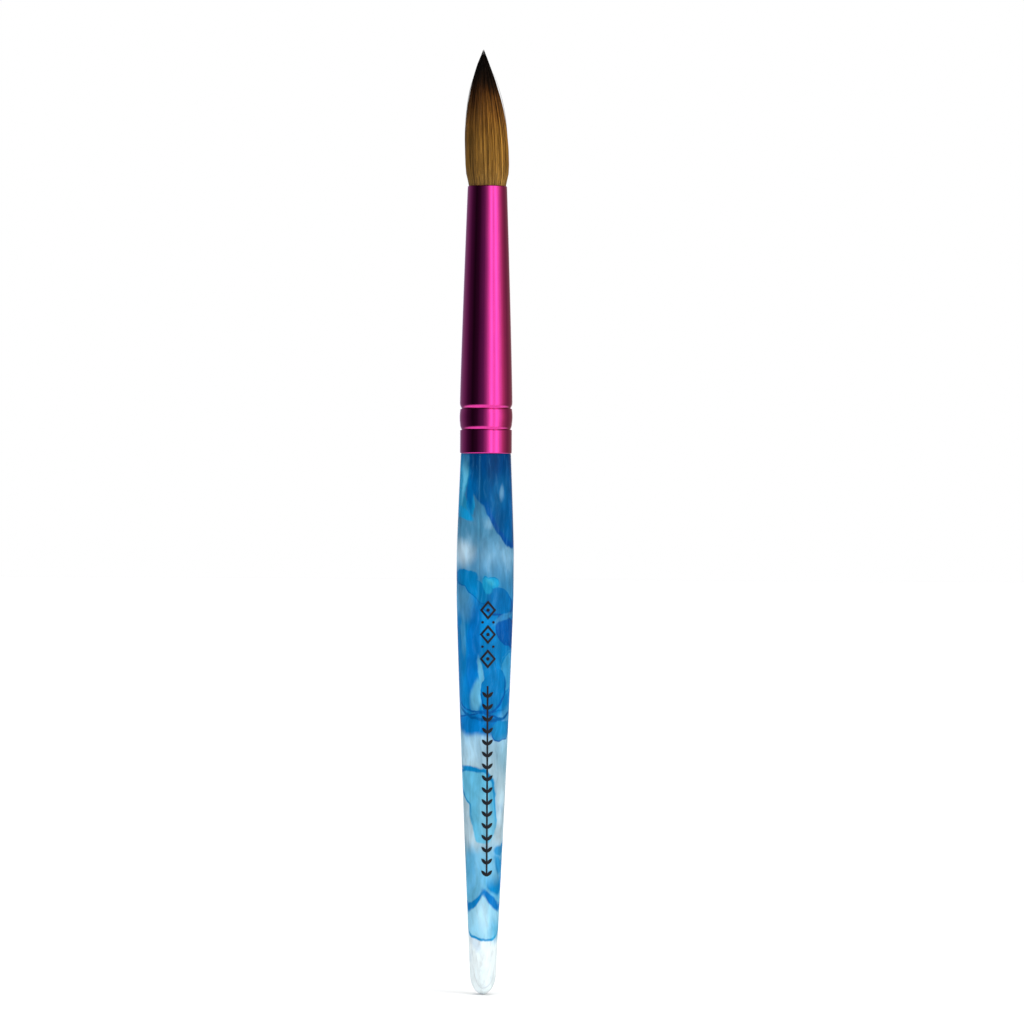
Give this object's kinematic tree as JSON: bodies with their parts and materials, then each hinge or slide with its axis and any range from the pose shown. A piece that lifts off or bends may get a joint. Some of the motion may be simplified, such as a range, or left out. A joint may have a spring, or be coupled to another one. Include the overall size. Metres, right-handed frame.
{
  "type": "acrylic nail brush",
  "caption": "Nail artist's brush: round hair tuft that flexes, tapered anodised metal ferrule with rolled crimps, and a marbled resin handle with a grip swell and a slim rounded tail.",
  "frame": {"origin": "middle of the grip, the thickest stretch of the handle, on the brush's axis", "axes": "+Z along the brush from the tail to the tip of the tuft; -Y faces the viewer and carries the printed mark; +X to the viewer's right"},
  "size_m": [0.0106, 0.0106, 0.175],
  "materials": {
    "marbled_resin": "polished, pearly blue and white marbled cast resin",
    "adhesive": "clear amber adhesive film",
    "anodised_ferrule": "bright magenta anodised",
    "plug_resin": "set amber epoxy",
    "thread": "waxed cotton thread",
    "hair": "fine golden brown animal hair, slightly glossy",
    "hair_tip": "dark hair ends",
    "ink": "black pad-printed ink"
  },
  "bodies": {
    "brush": {"handle": "marbled_resin", "tenon_adhesive": "adhesive", "ferrule": "anodised_ferrule", "resin_plug": "plug_resin", "binding_thread": "thread", "tuft_root": "hair", "printed_mark": "ink"},
    "heel": {"tuft_heel": "hair"},
    "lower_belly": {"tuft_lower_belly": "hair"},
    "upper_belly": {"tuft_upper_belly": "hair"},
    "shoulder": {"tuft_shoulder": "hair"},
    "taper": {"tuft_taper": "hair"},
    "tip": {"tuft_tip": "hair_tip"}
  },
  "joints": [
    {"name": "tuft_sway_lower", "type": "hinge", "parent": "brush", "child": "heel", "pos_m": [0, 0, 0.0755], "axis": [0, 1, 0], "range_deg": [-12, 12], "stiffness_Nm_per_rad": 0.01},
    {"name": "tuft_nod_lower", "type": "hinge", "parent": "heel", "child": "lower_belly", "pos_m": [0, 0, 0.0787], "axis": [1, 0, 0], "range_deg": [-12, 12], "stiffness_Nm_per_rad": 0.01},
    {"name": "tuft_sway_middle", "type": "hinge", "parent": "lower_belly", "child": "upper_belly", "pos_m": [0, 0, 0.0819], "axis": [0, 1, 0], "range_deg": [-12, 12], "stiffness_Nm_per_rad": 0.01},
    {"name": "tuft_nod_middle", "type": "hinge", "parent": "upper_belly", "child": "shoulder", "pos_m": [0, 0, 0.0851], "axis": [1, 0, 0], "range_deg": [-12, 12], "stiffness_Nm_per_rad": 0.01},
    {"name": "tuft_sway_upper", "type": "hinge", "parent": "shoulder", "child": "taper", "pos_m": [0, 0, 0.0883], "axis": [0, 1, 0], "range_deg": [-12, 12], "stiffness_Nm_per_rad": 0.01},
    {"name": "tuft_nod_upper", "type": "hinge", "parent": "taper", "child": "tip", "pos_m": [0, 0, 0.0915], "axis": [1, 0, 0], "range_deg": [-12, 12], "stiffness_Nm_per_rad": 0.01}
  ]
}
